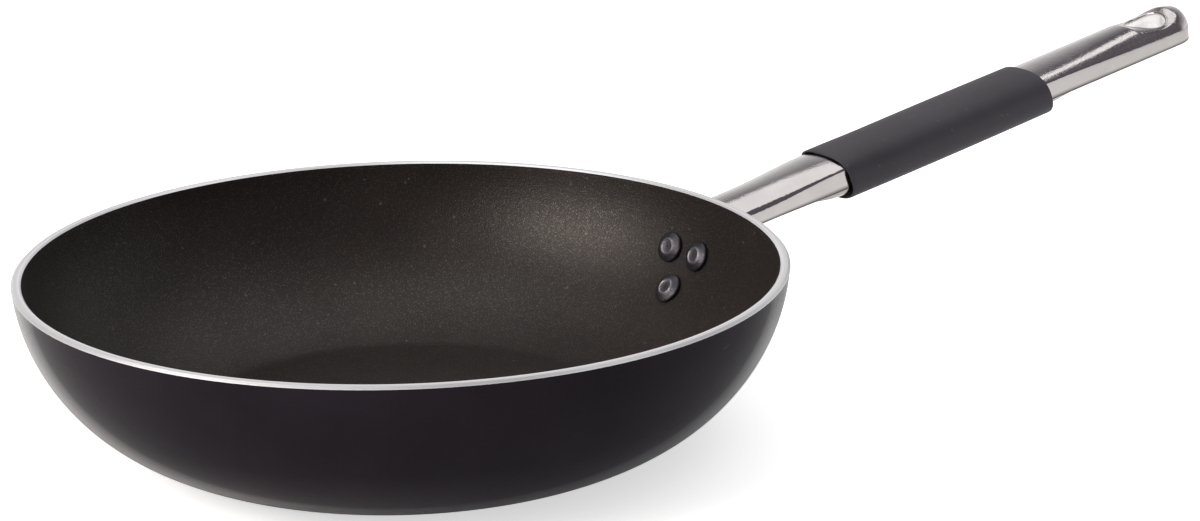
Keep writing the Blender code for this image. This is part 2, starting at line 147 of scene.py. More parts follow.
def mathNode(tree, operation, first, second=None, clamp=False):
    node = addNode(tree, "ShaderNodeMath", operation=operation, use_clamp=clamp)
    for socket, value in zip(node.inputs, (first, second)):
        if value is None:
            continue
        if isinstance(value, (int, float)):
            socket.default_value = value
        else:
            wire(tree, value, socket)
    return node.outputs[0]


def spread(tree, value, low, high, newLow=0.0, newHigh=1.0):
    node = addNode(tree, "ShaderNodeMapRange")
    wire(tree, value, node.inputs["Value"])
    for name, number in zip(("From Min", "From Max", "To Min", "To Max"), (low, high, newLow, newHigh)):
        node.inputs[name].default_value = number
    return node.outputs["Result"]


def mixColour(tree, factor, first, second, blend="MIX"):
    node = addNode(tree, "ShaderNodeMix", data_type="RGBA", blend_type=blend)
    if isinstance(factor, (int, float)):
        node.inputs["Factor"].default_value = factor
    else:
        wire(tree, factor, node.inputs["Factor"])
    for name, value in (("A", first), ("B", second)):
        socket = [s for s in node.inputs if s.name == name and s.type == "RGBA"][0]
        if isinstance(value, tuple):
            socket.default_value = (*value, 1.0)
        else:
            wire(tree, value, socket)
    return [s for s in node.outputs if s.type == "RGBA"][0]


def newGroup(name, numbers, results):
    # every group takes a place and a few numbers, and gives numbers back
    group = bpy.data.node_groups.new(name, "ShaderNodeTree")
    group.interface.new_socket(name="Vector", in_out="INPUT", socket_type="NodeSocketVector")
    for label, value in numbers.items():
        socket = group.interface.new_socket(name=label, in_out="INPUT", socket_type="NodeSocketFloat")
        socket.default_value = value
    for label in results:
        group.interface.new_socket(name=label, in_out="OUTPUT", socket_type="NodeSocketFloat")
    start = group.nodes.new("NodeGroupInput")
    end = group.nodes.new("NodeGroupOutput")
    return group, start.outputs, end.inputs


def useGroup(tree, group, vector, **values):
    node = addNode(tree, "ShaderNodeGroup", node_tree=group)
    wire(tree, vector, node.inputs["Vector"])
    for name, value in values.items():
        node.inputs[name].default_value = value
    return node.outputs


def newMaterial(name, base, roughness, metallic=0.0):
    material = bpy.data.materials.new(name)
    material.use_nodes = True
    tree = material.node_tree
    shader = tree.nodes["Principled BSDF"]
    shader.inputs["Base Color"].default_value = (*base, 1.0)
    shader.inputs["Roughness"].default_value = roughness
    shader.inputs["Metallic"].default_value = metallic
    place = addNode(tree, "ShaderNodeTexCoord").outputs["Object"]
    return material, tree, shader, place


def addBump(tree, shader, height, depth):
    bump = addNode(tree, "ShaderNodeBump")
    bump.inputs["Strength"].default_value = 1.0
    bump.inputs["Distance"].default_value = depth
    wire(tree, height, bump.inputs["Height"])
    wire(tree, bump.outputs["Normal"], shader.inputs["Normal"])


# noise lies mostly between 0.3 and 0.7, and a narrower range gives more contrast
wideRange = (0.3, 0.7)
upperRange = (0.35, 0.7)
narrowRange = (0.35, 0.65)


def shaded(colour, share):
    return tuple(share * part for part in colour)


def scaled(tree, value, share):
    return mathNode(tree, "MULTIPLY", value, share)


def mixedBy(tree, value, limits, first, second):
    return mixColour(tree, spread(tree, value, *limits), first, second)


def roughnessBy(tree, value, roughness, less, more):
    return spread(tree, value, *wideRange, roughness - less, roughness + more)


# Effects that several finishes share

def makeGrain():
    # fine and coarse unevenness of a surface
    group, given, out = newGroup("surfaceGrain", {"Fine": 1500.0, "Coarse": 60.0}, ("Fine", "Coarse"))
    for label in ("Fine", "Coarse"):
        noise = addNode(group, "ShaderNodeTexNoise")
        noise.inputs["Detail"].default_value = 3.0
        wire(group, given["Vector"], noise.inputs["Vector"])
        wire(group, given[label], noise.inputs["Scale"])
        wire(group, noise.outputs["Fac"], out[label])
    return group


def makeFlakes():
    # scattered glints, in a share of the cells
    group, given, out = newGroup("glitterFlakes", {"Scale": 1500.0, "Share": 0.05}, ("Mask", "Tint"))
    cells = addNode(group, "ShaderNodeTexVoronoi")
    wire(group, given["Vector"], cells.inputs["Vector"])
    wire(group, given["Scale"], cells.inputs["Scale"])
    split = addNode(group, "ShaderNodeSeparateColor")
    wire(group, cells.outputs["Color"], split.inputs["Color"])
    limit = mathNode(group, "SUBTRACT", 1.0, given["Share"])
    chosen = mathNode(group, "GREATER_THAN", split.outputs["Red"], limit)
    core = spread(group, cells.outputs["Distance"], 0.35, 0.5, 1.0, 0.0)
    wire(group, mathNode(group, "MULTIPLY", chosen, core), out["Mask"])
    wire(group, split.outputs["Green"], out["Tint"])
    return group


def makeTurning():
    # rings left by a lathe tool, round the object's Z
    group, given, out = newGroup("turningRings", {"Rings": 1500.0, "Drift": 0.0006}, ("Height", "Streak"))
    split = addNode(group, "ShaderNodeSeparateXYZ")
    wire(group, given["Vector"], split.inputs["Vector"])
    squareX = mathNode(group, "POWER", split.outputs["X"], 2.0)
    squareY = mathNode(group, "POWER", split.outputs["Y"], 2.0)
    radius = mathNode(group, "SQRT", mathNode(group, "ADD", squareX, squareY))
    slope = mathNode(group, "MULTIPLY", split.outputs["Z"], 0.8)
    wobble = addNode(group, "ShaderNodeTexNoise")
    wobble.inputs["Scale"].default_value = 12.0
    wire(group, given["Vector"], wobble.inputs["Vector"])
    drift = mathNode(group, "MULTIPLY", wobble.outputs["Fac"], given["Drift"])
    reach = mathNode(group, "ADD", mathNode(group, "SUBTRACT", radius, slope), drift)
    rings = addNode(group, "ShaderNodeTexNoise", noise_dimensions="1D")
    rings.inputs["Detail"].default_value = 2.0
    wire(group, reach, rings.inputs["W"])
    wire(group, given["Rings"], rings.inputs["Scale"])
    broad = addNode(group, "ShaderNodeTexNoise", noise_dimensions="1D")
    wire(group, reach, broad.inputs["W"])
    wire(group, mathNode(group, "MULTIPLY", given["Rings"], 0.12), broad.inputs["Scale"])
    wire(group, rings.outputs["Fac"], out["Height"])
    wire(group, broad.outputs["Fac"], out["Streak"])
    return group


def makeScratches():
    # long thin marks, drawn out along X
    group, given, out = newGroup("hairScratches", {"Across": 1400.0, "Along": 18.0}, ("Mask", "Height"))
    stretch = addNode(group, "ShaderNodeCombineXYZ")
    wire(group, given["Along"], stretch.inputs["X"])
    wire(group, given["Across"], stretch.inputs["Y"])
    wire(group, given["Across"], stretch.inputs["Z"])
    drawn = addNode(group, "ShaderNodeVectorMath", operation="MULTIPLY")
    wire(group, given["Vector"], drawn.inputs[0])
    wire(group, stretch.outputs["Vector"], drawn.inputs[1])
    lines = addNode(group, "ShaderNodeTexNoise")
    lines.inputs["Scale"].default_value = 1.0
    lines.inputs["Detail"].default_value = 2.0
    wire(group, drawn.outputs["Vector"], lines.inputs["Vector"])
    wire(group, spread(group, lines.outputs["Fac"], 0.66, 0.74), out["Mask"])
    wire(group, lines.outputs["Fac"], out["Height"])
    return group


surfaceGrain = makeGrain()
glitterFlakes = makeFlakes()
turningRings = makeTurning()
hairScratches = makeScratches()
print("shared effects ready")


# Bowl: one turned piece, with a coated inside and outside, a bare lip and a turned base

bowlLook = {
    "rimRadius": 0.140,
    "height": 0.065,
    "baseRadius": 0.0803,
    "rimLean": math.radians(3.8),
    "cornerRadius": 0.025,
    "wallThickness": 0.0036,
    "baseThickness": 0.0050,
    "lipOuterBevel": 0.0009,
    "lipInnerBevel": 0.0006,
    "roundSteps": 288,
    "wallSteps": 40,
    "cornerSteps": 10,
    "floorRadii": (0.0, 0.02, 0.04, 0.06),
    "insideColour": (0.0102, 0.0080, 0.0073),
    "insideMottling": 1.5,
    "insideTint": (1.0, 0.94, 0.88),
    "insideRoughness": 0.42,
    "insideRoughnessSpread": (0.05, 0.06),
    "insideGloss": 0.30,
    "insideGrain": {"Fine": 1500.0, "Coarse": 28.0},
    "insideRings": {"Rings": 650.0, "Drift": 0.0008},
    "insideRingHeight": 0.3,
    "insideBumpDepth": 0.00013,
    "flakes": {"Scale": 2500.0, "Share": 0.30},
    "flakeColour": (0.042, 0.035, 0.027),
    "flakeLeast": 0.15,
    "flakeMost": 0.8,
    "flakeGloss": 0.95,
    "flakeSmoothing": 0.12,
    "dust": {"Scale": 700.0, "Share": 0.004},
    "dustColour": (0.10, 0.095, 0.09),
    "dustStrength": 0.4,
    "outsideColour": (0.0108, 0.0088, 0.0114),
    "outsideMottling": 1.4,
    "outsideTint": (0.94, 0.86, 0.97),
    "outsideRoughness": 0.22,
    "outsideRoughnessSpread": (0.04, 0.04),
    "outsideGloss": 0.035,
    "outsideEdgeGloss": 0.70,
    "edgeGlossStart": 0.74,
    "outsideGrain": {"Fine": 1700.0, "Coarse": 20.0},
    "outsideRings": {"Rings": 520.0, "Drift": 0.0005},
    "outsideRingHeight": 0.6,
    "outsideBumpDepth": 0.00005,
    # painted reflection: the outside is made lighter towards its base, standing in for the floor reflected
    # there
    "paintedFloorReflectionColour": (0.029, 0.0225, 0.030),
    "floorReflectionHeights": (0.004, 0.030),
    "floorReflectionStrength": 0.8,
    "scratches": {"Across": 420.0, "Along": 30.0},
    "wornPatches": {"Fine": 90.0, "Coarse": 9.0},
    "wornRange": (0.62, 0.70),
    "wornColour": (0.06, 0.058, 0.06),
    "wornStrength": 0.35,
    "wornRoughness": 0.12,
    "lipColour": (0.74, 0.74, 0.75),
    "lipRoughness": 0.34,
    "lipMetallic": 0.6,
    "lipRings": 3200.0,
    "lipBumpDepth": 0.000008,
    "baseColour": (0.50, 0.50, 0.51),
    "baseRoughness": 0.38,
    "baseMetallic": 1.0,
    "baseRings": 900.0,
    "baseBumpDepth": 0.00006,
    "metalDrift": 0.0002,
    "metalGrain": {"Fine": 1200.0, "Coarse": 45.0},
    "metalStreaks": 0.82,
    "metalRoughnessSpread": (0.06, 0.08),
    "stainRange": (0.55, 0.8),
    "stainStrength": 0.3,
}


def findWallArc():
    # the arc that runs from the leaning rim into the rounded corner of the base
    look = bowlLook
    across = look["rimRadius"] - look["baseRadius"]
    down = look["height"] - look["cornerRadius"]
    spare = across * math.cos(look["rimLean"]) - down * math.sin(look["rimLean"]) - look["cornerRadius"]
    return 0.5 * (across**2 + down**2 - look["cornerRadius"] ** 2) / spare


wallArcRadius = findWallArc()
wallCentreRadius = bowlLook["rimRadius"] - wallArcRadius * math.cos(bowlLook["rimLean"])
wallCentreHeight = bowlLook["height"] + wallArcRadius * math.sin(bowlLook["rimLean"])
cornerDrop = wallCentreHeight - bowlLook["cornerRadius"]
wallEnd = math.asin(cornerDrop / (wallArcRadius - bowlLook["cornerRadius"]))


def wallPoint(sweep, offset=0.0):
    # sweep is how far the wall's outward side has turned down from level
    reach = wallArcRadius + offset
    return wallCentreRadius + reach * math.cos(sweep), wallCentreHeight - reach * math.sin(sweep)


def wallThicknessAt(sweep):
    share = (sweep - bowlLook["rimLean"]) / (wallEnd - bowlLook["rimLean"])
    return between(bowlLook["wallThickness"], bowlLook["baseThickness"], eased(share) ** 2)


def sweepAtHeight(height, offset=0.0):
    return math.asin((wallCentreHeight - height) / (wallArcRadius + offset))


def bowlOutline():
    look = bowlLook
    wallShares = [i / look["wallSteps"] for i in range(1, look["wallSteps"] + 1)]
    sweeps = [between(look["rimLean"], wallEnd, share) for share in wallShares]
    cornerShares = [i / look["cornerSteps"] for i in range(1, look["cornerSteps"] + 1)]
    turns = [between(wallEnd, 0.5 * math.pi, share) for share in cornerShares]

    def corner(radius):
        points = []
        for turn in turns:
            across = look["baseRadius"] + radius * math.cos(turn)
            points.append((across, look["cornerRadius"] - radius * math.sin(turn)))
        return points

    outer = [wallPoint(sweep) for sweep in sweeps] + corner(look["cornerRadius"])
    inner = [wallPoint(sweep, -wallThicknessAt(sweep)) for sweep in sweeps]
    inner += corner(look["cornerRadius"] - look["baseThickness"])
    innerRim = look["rimRadius"] - look["wallThickness"]
    lip = [
        (innerRim, look["height"] - look["lipInnerBevel"]),
        (innerRim + look["lipInnerBevel"], look["height"]),
        (look["rimRadius"] - look["lipOuterBevel"], look["height"]),
        (look["rimRadius"], look["height"] - look["lipOuterBevel"]),
    ]
    floor = [(radius, look["baseThickness"]) for radius in look["floorRadii"]]
    under = [(radius, 0.0) for radius in look["floorRadii"][::-1]]
    return floor + inner[::-1] + lip + outer + under


def makeInsideCoating():
    look = bowlLook
    colour = look["insideColour"]
    material, tree, shader, place = newMaterial("insideCoating", colour, look["insideRoughness"])
    grain = useGroup(tree, surfaceGrain, place, **look["insideGrain"])
    flakes = useGroup(tree, glitterFlakes, place, **look["flakes"])
    dust = useGroup(tree, glitterFlakes, place, **look["dust"])
    rings = useGroup(tree, turningRings, place, **look["insideRings"])
    mottled = mixedBy(tree, grain["Coarse"], upperRange, colour, shaded(colour, look["insideMottling"]))
    brightness = spread(tree, flakes["Tint"], 0.0, 1.0, look["flakeLeast"], look["flakeMost"])
    glint = mathNode(tree, "MULTIPLY", flakes["Mask"], brightness)
    glinting = mixColour(tree, glint, mottled, look["flakeColour"])
    speckled = mixColour(tree, scaled(tree, dust["Mask"], look["dustStrength"]), glinting, look["dustColour"])
    wire(tree, speckled, shader.inputs["Base Color"])
    rough = roughnessBy(tree, grain["Fine"], look["insideRoughness"], *look["insideRoughnessSpread"])
    smoothed = mathNode(tree, "SUBTRACT", rough, scaled(tree, glint, look["flakeSmoothing"]))
    wire(tree, smoothed, shader.inputs["Roughness"])
    shader.inputs["Specular Tint"].default_value = (*look["insideTint"], 1.0)
    gloss = spread(tree, glint, 0.0, look["flakeMost"], look["insideGloss"], look["flakeGloss"])
    wire(tree, gloss, shader.inputs["Specular IOR Level"])
    height = mathNode(tree, "ADD", grain["Fine"], scaled(tree, rings["Height"], look["insideRingHeight"]))
    addBump(tree, shader, height, look["insideBumpDepth"])
    return material


def makeOutsideCoating():
    look = bowlLook
    colour = look["outsideColour"]
    material, tree, shader, place = newMaterial("outsideCoating", colour, look["outsideRoughness"])
    grain = useGroup(tree, surfaceGrain, place, **look["outsideGrain"])
    rings = useGroup(tree, turningRings, place, **look["outsideRings"])
    scratches = useGroup(tree, hairScratches, place, **look["scratches"])
    patches = useGroup(tree, surfaceGrain, place, **look["wornPatches"])
    patch = spread(tree, patches["Coarse"], *look["wornRange"])
    worn = mathNode(tree, "MULTIPLY", scratches["Mask"], patch)
    mottled = mixedBy(tree, grain["Coarse"], upperRange, colour, shaded(colour, look["outsideMottling"]))
    # painted reflection of the floor: lighter from 30 mm down to 4 mm above the base
    split = addNode(tree, "ShaderNodeSeparateXYZ")
    wire(tree, place, split.inputs["Vector"])
    floorReflectionShare = spread(tree, split.outputs["Z"], *look["floorReflectionHeights"], look["floorReflectionStrength"], 0.0)
    tinted = mixColour(tree, floorReflectionShare, mottled, look["paintedFloorReflectionColour"])
    scuffed = mixColour(tree, scaled(tree, worn, look["wornStrength"]), tinted, look["wornColour"])
    wire(tree, scuffed, shader.inputs["Base Color"])
    rough = roughnessBy(tree, grain["Fine"], look["outsideRoughness"], *look["outsideRoughnessSpread"])
    roughened = mathNode(tree, "ADD", rough, scaled(tree, worn, look["wornRoughness"]))
    wire(tree, roughened, shader.inputs["Roughness"])
    shader.inputs["Specular Tint"].default_value = (*look["outsideTint"], 1.0)
    facing = addNode(tree, "ShaderNodeLayerWeight").outputs["Facing"]
    gloss = spread(tree, facing, look["edgeGlossStart"], 1.0, look["outsideGloss"], look["outsideEdgeGloss"])
    wire(tree, gloss, shader.inputs["Specular IOR Level"])
    height = mathNode(tree, "ADD", grain["Fine"], scaled(tree, rings["Height"], look["outsideRingHeight"]))
    addBump(tree, shader, height, look["outsideBumpDepth"])
    return material


def makeTurnedMetal(part):
    # part is lip or base
    look = bowlLook
    colour = look[part + "Colour"]
    roughness = look[part + "Roughness"]
    material, tree, shader, place = newMaterial(part + "Metal", colour, roughness, look[part + "Metallic"])
    rings = useGroup(tree, turningRings, place, Rings=look[part + "Rings"], Drift=look["metalDrift"])
    grain = useGroup(tree, surfaceGrain, place, **look["metalGrain"])
    darker = shaded(colour, look["metalStreaks"])
    streaked = mixedBy(tree, rings["Streak"], narrowRange, darker, colour)
    stain = spread(tree, grain["Coarse"], *look["stainRange"], 0.0, look["stainStrength"])
    wire(tree, mixColour(tree, stain, streaked, darker), shader.inputs["Base Color"])
    rough = roughnessBy(tree, rings["Height"], roughness, *look["metalRoughnessSpread"])
    wire(tree, rough, shader.inputs["Roughness"])
    addBump(tree, shader, rings["Height"], look[part + "BumpDepth"])
    return material


panBowl = turnedPiece("panBowl", bowlOutline(), bowlLook["roundSteps"])
giveMaterials(
    panBowl,
    makeInsideCoating(),
    makeOutsideCoating(),
    makeTurnedMetal("lip"),
    makeTurnedMetal("base"),
)
paintFaces(panBowl, 1, lambda place, facing: Vector(place.xy).dot(facing.xy) > 0.0 and facing.z < 0.2)
paintFaces(panBowl, 2, lambda place, facing: place.z > bowlLook["height"] - bowlLook["lipOuterBevel"])
paintFaces(panBowl, 3, lambda place, facing: facing.z < -0.9999)
smoothOver(panBowl, 28)
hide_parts("pan_body")
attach(panBowl, "root")
print("bowl made:", len(panBowl.data.polygons), "faces")


# Rivets: one is turned for each of the three places

rivetLook = {
    "upperDrop": 0.0220,
    "lowerDrop": 0.0355,
    "upperSpacing": 0.0166,
    "shankRadius": 0.0024,
    "headRadius": 0.0059,
    "headHeight": 0.0024,
    "headEdge": 0.0008,
    "bossRadius": 0.0033,
    "bossDrop": 0.12,
    "dishRadius": 0.0025,
    "dishDepth": 0.0003,
    "dishInset": 0.0002,
    "dishOutset": 0.0001,
    "dishLevel": 0.7,
    "edgeDrop": 0.93,
    "edgeInset": 0.0001,
    "tailRadius": 0.0048,
    "tailHeight": 0.0020,
    "tailFlat": 0.45,
    "clearance": 0.0003,
    "roundSteps": 72,
    "colour": (0.040, 0.038, 0.044),
    "mottling": 1.7,
    "ringColour": (0.24, 0.23, 0.255),
    "ringSpread": 0.0009,
    "roughness": 0.42,
    "roughnessSpread": (0.1, 0.1),
    "metallic": 0.85,
    "grain": {"Fine": 1600.0, "Coarse": 260.0},
    "bumpDepth": 0.00012,
}

# share of the way across the ring, and metres below its crest
ringProfile = ((0.35, 0.00008), (0.5, 0.0), (0.75, 0.00008))
# share of the way from boss to edge, and share of the way down from crest to seat
headProfile = ((0.15, 0.18), (0.35, 0.28), (0.55, 0.38), (0.75, 0.48), (0.9, 0.57), (0.97, 0.64))
edgeRounding = 0.06
tailShares = (0.35, 0.6, 0.8, 1.0)


def rivetPlaces():
    def sweepAtDrop(drop):
        sweep = sweepAtHeight(bowlLook["height"] - drop)
        for _ in range(20):
            sweep = sweepAtHeight(bowlLook["height"] - drop, -wallThicknessAt(sweep))
        return sweep

    upper = sweepAtDrop(rivetLook["upperDrop"])
    lower = sweepAtDrop(rivetLook["lowerDrop"])
    turn = math.asin(0.5 * rivetLook["upperSpacing"] / wallPoint(upper, -wallThicknessAt(upper))[0])
    return [
        ("rivetUpperLeft", "rivet_upper_left", turn, upper),
        ("rivetUpperRight", "rivet_upper_right", -turn, upper),
        ("rivetLower", "rivet_lower", 0.0, lower),
    ]


def rivetPlace(turn, sweep):
    # on the wall's inner face, with Z into the bowl
    radius, height = wallPoint(sweep, -wallThicknessAt(sweep))
    inward = Vector((-math.cos(sweep), 0.0, math.sin(sweep)))
    axes = inward.to_track_quat("Z", "Y").to_matrix().to_4x4()
    return Matrix.Rotation(turn, 4, "Z") @ Matrix.Translation((radius, 0.0, height)) @ axes


def rivetOutline(sweep):
    look = rivetLook
    hollow = wallArcRadius - bowlLook["wallThickness"]
    seat = hollow - math.sqrt(hollow**2 - look["headRadius"] ** 2) + look["clearance"]
    top = seat + look["headHeight"]
    back = -(wallThicknessAt(sweep) + 2.0 * look["clearance"] + handleLook["sheetThickness"])
    tailEnd = back - look["tailHeight"]
    ringWidth = look["bossRadius"] - look["dishRadius"]
    skirt = look["headRadius"] - look["bossRadius"]
    dishBottom = top - look["dishDepth"]
    points = [(0.0, dishBottom), (look["dishRadius"] - look["dishInset"], dishBottom)]
    points.append((look["dishRadius"] + look["dishOutset"], top - look["dishLevel"] * look["dishDepth"]))
    points += [(look["dishRadius"] + share * ringWidth, top - drop) for share, drop in ringProfile]
    points.append((look["bossRadius"], between(top, seat, look["bossDrop"])))
    bevel = 1.0 - look["headEdge"] / look["headHeight"]
    for share, drop in (*headProfile, (1.0, bevel + edgeRounding)):
        points.append((look["bossRadius"] + share * skirt, between(top, seat, drop)))
    points.append((look["headRadius"], between(top, seat, look["edgeDrop"])))
    points.append((look["headRadius"] - look["edgeInset"], seat))
    points += [(look["shankRadius"], seat), (look["shankRadius"], back), (look["tailRadius"], back)]
    for share in tailShares:
        width = between(look["tailFlat"], 1.0, math.sqrt(1.0 - share**2)) * look["tailRadius"]
        points.append((width, between(back, tailEnd, share)))
    return points + [(0.0, tailEnd)]


def makeRivetMetal():
    look = rivetLook
    colour = look["colour"]
    material, tree, shader, place = newMaterial("rivetMetal", colour, look["roughness"], look["metallic"])
    ring = addNode(tree, "ShaderNodeAttribute", attribute_name="ringShare").outputs["Fac"]
    grain = useGroup(tree, surfaceGrain, place, **look["grain"])
    tumbled = mixedBy(tree, grain["Coarse"], narrowRange, colour, shaded(colour, look["mottling"]))
    wire(tree, mixColour(tree, ring, tumbled, look["ringColour"]), shader.inputs["Base Color"])
    rough = roughnessBy(tree, grain["Fine"], look["roughness"], *look["roughnessSpread"])
    wire(tree, rough, shader.inputs["Roughness"])
    addBump(tree, shader, grain["Fine"], look["bumpDepth"])
    return material


# Handle: a pressed sheet, open below, with its mounting plate and hanging hole

handleLook = {
    "sheetThickness": 0.0015,
    "riseAngle": math.radians(9.15),
    "gripStartRadius": 0.2044,
    "gripStartHeight": 0.0613,
    "tipStation": 0.2052,
    "noseLength": 0.0108,
    "noseWidthBluntness": 0.62,
    "noseHeightBluntness": 0.22,
    "noseSteps": 28,
    "bellySlot": 0.0040,
    "bellyTaperNear": 0.022,
    "bellyTaperInside": 0.014,
    "bellyTaperFar": 0.016,
    "bellyShareNear": 0.42,
    "bellyShareFar": 0.20,
    "bellyShareLeast": 0.03,
    "flareLength": 0.010,
    "flareWidth": 0.0025,
    "flareHeight": 0.0012,
    "plateTopDrop": 0.0045,
    "plateEdgeMargin": 0.0080,
    "plateTopHalfWidth": 0.0140,
    "plateEdgeRounding": 0.0003,
    "plateSteps": 12,
    "plateRoundSteps": 14,
    "plateColumns": 24,
    "seatClearance": 0.0003,
    "domeColumns": 28,
    "colour": (0.60, 0.575, 0.56),
    "roughness": 0.09,
    "bumpDepth": 0.00007,
    # the inner faces are near white: painted light, standing in for the white floor seen in them through the
    # hanging hole
    "insideColour": (0.97, 0.96, 0.95),
    "insideRoughness": 0.24,
    "insideBumpDepth": 0.00004,
    "clouding": 0.88,
    "grain": {"Fine": 1050.0, "Coarse": 70.0},
    "roughnessSpread": (0.03, 0.05),
    "scratches": {"Across": 1500.0, "Along": 25.0},
    "scratchStrength": 0.25,
    "scratchRoughness": 0.1,
    "scratchHeight": 0.3,
    # painted shade: a dark line along the crease of the sheet's lower edge
    "creaseShadeColour": (0.05, 0.045, 0.045),
    "creaseShadeStrength": 0.9,
}

# distance from the grip's near end, half width, crest, lower edge, straight side
handleSections = [
    (-0.0450, 0.0124, 0.0085, -0.0020, 0.0046),
    (-0.0020, 0.0132, 0.0092, -0.0024, 0.0076),
    (0.0080, 0.0126, 0.0089, -0.0026, 0.0070),
    (0.1128, 0.0126, 0.0091, -0.0025, 0.0074),
    (0.1960, 0.0124, 0.0107, -0.0028, 0.0050),
]

holeLook = {
    "station": 0.1850,
    "length": 0.0205,
    "width": 0.0188,
    "taper": 0.06,
    "point": 0.12,
    "dishDepth": 0.0012,
    "dishReach": 1.35,
    "ridgeSide": 0.0114,
    "edgeRadius": 0.00076,
    "cutBelow": 0.01,
    "cutDepth": 0.03,
    "steps": 120,
}

sleeveLook = {
    "length": 0.1128,
    "thickness": 0.0008,
    "endRounding": 0.00035,
    "endSlant": 0.22,
    "nearHalfHeight": 0.0102,
    "farHalfHeight": 0.0105,
    "crown": 0.0003,
    "lift": 0.0001,
    "halfWidth": 0.0151,
    "nearHalfWidth": 0.0150,
    "nearBlend": 0.030,
    "squareness": 2.5,
    "nearSquarenessAbove": 2.9,
    "sides": 128,
    "steps": 24,
    "colour": (0.0290, 0.0256, 0.0330),
    "unevenness": (0.85, 1.15),
    "roughness": 0.58,
    "roughnessSpread": (0.05, 0.05),
    "gloss": 0.38,
    "sheen": 0.04,
    "grain": {"Fine": 2400.0, "Coarse": 35.0},
    "bumpDepth": 0.00005,
    "scratches": {"Across": 260.0, "Along": 60.0},
    "scratchPatches": {"Fine": 400.0, "Coarse": 42.0},
    "scratchRange": (0.60, 0.68),
    "scratchColour": (0.14, 0.13, 0.14),
    "scratchStrength": 0.4,
    "lint": {"Scale": 900.0, "Share": 0.006},
    "lintColour": (0.16, 0.15, 0.15),
    "lintStrength": 0.3,
}

handleOrigin = Vector((handleLook["gripStartRadius"], 0.0, handleLook["gripStartHeight"]))
handleAlong = Vector((math.cos(handleLook["riseAngle"]), 0.0, math.sin(handleLook["riseAngle"])))
handleUp = Vector((-math.sin(handleLook["riseAngle"]), 0.0, math.cos(handleLook["riseAngle"])))
handlePlace = Matrix.Translation(handleOrigin) @ Matrix.Rotation(-handleLook["riseAngle"], 4, "Y")


def handlePoint(station, side, up):
    return handleOrigin + handleAlong * station + Vector((0.0, side, 0.0)) + handleUp * up


def sectionAt(station):
    if station <= handleSections[0][0]:
        return handleSections[0][1:]
    for low, high in zip(handleSections, handleSections[1:]):
        if station <= high[0]:
            share = eased((station - low[0]) / (high[0] - low[0]))
            return tuple(between(a, b, share) for a, b in zip(low[1:], high[1:]))
    return handleSections[-1][1:]


def sleeveHalfHeight(station):
    share = min(max(station / sleeveLook["length"], 0.0), 1.0)
    straight = between(sleeveLook["nearHalfHeight"], sleeveLook["farHalfHeight"], share)
    return straight + sleeveLook["crown"] * math.sin(math.pi * share)


def bellyShare(station):
    # how much of the underside the sheet closes: all of it inside the grip, little at the ends
    look = handleLook
    beyond = station - sleeveLook["length"]
    if station < 0.0:
        return look["bellyShareNear"] * eased(1.0 + station / look["bellyTaperNear"])
    if beyond > 0.0:
        return look["bellyShareFar"] * eased(1.0 - beyond / look["bellyTaperFar"])
    near = between(look["bellyShareNear"], 1.0, eased(station / look["bellyTaperInside"]))
    far = between(look["bellyShareFar"], 1.0, eased(-beyond / look["bellyTaperInside"]))
    return min(near, far)


# the columns are close together beside the crease of the lower edge
sideShares = (0.25, 0.5, 0.75, 0.9, 0.96, 1.0)
bellyShares = (0.025, 0.06, 0.12, 0.2, 0.28, 0.36, 0.44, 0.52, 0.6, 0.68, 0.76, 0.84, 0.92, 1.0)


def bellyPoints(station, halfWidth, edge):
    height = sleeveHalfHeight(station) - sleeveLook["thickness"] - sleeveLook["lift"]
    height -= 2.0 * handleLook["seatClearance"]
    closed = max(bellyShare(station + sleeveLook["endSlant"] * edge), handleLook["bellyShareLeast"])
    start = math.asin(-edge / height)
    width = halfWidth / math.cos(start)
    slot = 0.5 * handleLook["bellySlot"]
    reach = (math.acos(slot / width) - start) * closed if width > slot else 0.0
    angles = [start + max(reach, 0.0) * share for share in bellyShares]
    return [(width * math.cos(angle), -height * math.sin(angle)) for angle in angles]


def halfSection(station, shrink, flare):
    look = handleLook
    halfWidth, crest, edge, straight = sectionAt(station)
    halfWidth = halfWidth * shrink ** look["noseWidthBluntness"] + flare * look["flareWidth"]
    shoulder = edge + straight
    dome = (crest - shoulder) * shrink ** look["noseHeightBluntness"] + flare * look["flareHeight"]
    angles = [0.5 * math.pi * i / look["domeColumns"] for i in range(look["domeColumns"] + 1)]
    points = [(halfWidth * math.sin(a), shoulder + dome * math.cos(a)) for a in angles]
    points += [(halfWidth, between(shoulder, edge, share)) for share in sideShares]
    return points + bellyPoints(station, halfWidth, edge)


def creaseShadeShares():
    # a painted dark line of shade: one at the crease between side and underside, by column
    count = handleLook["domeColumns"] + 1 + len(sideShares) + len(bellyShares)
    crease = handleLook["domeColumns"] + len(sideShares)
    half = [{0: 1.0, 1: 1.0, 2: 0.6}.get(abs(column - crease), 0.0) for column in range(count)]
    return half[::-1] + half[1:]


def holeHalfWidth(share):
    # egg-shaped, drawn to a point towards the grip
    roundEnd = math.sqrt(max(1.0 - share * share, 0.0))
    pointedEnd = (0.5 * (1.0 + share)) ** holeLook["point"]
    return 0.5 * holeLook["width"] * (1.0 + holeLook["taper"] * share) * pointedEnd * roundEnd


def holeEdge(angle):
    share = min(max(math.cos(angle), -1.0), 1.0)
    return 0.5 * holeLook["length"] * share, math.copysign(holeHalfWidth(share), math.sin(angle))


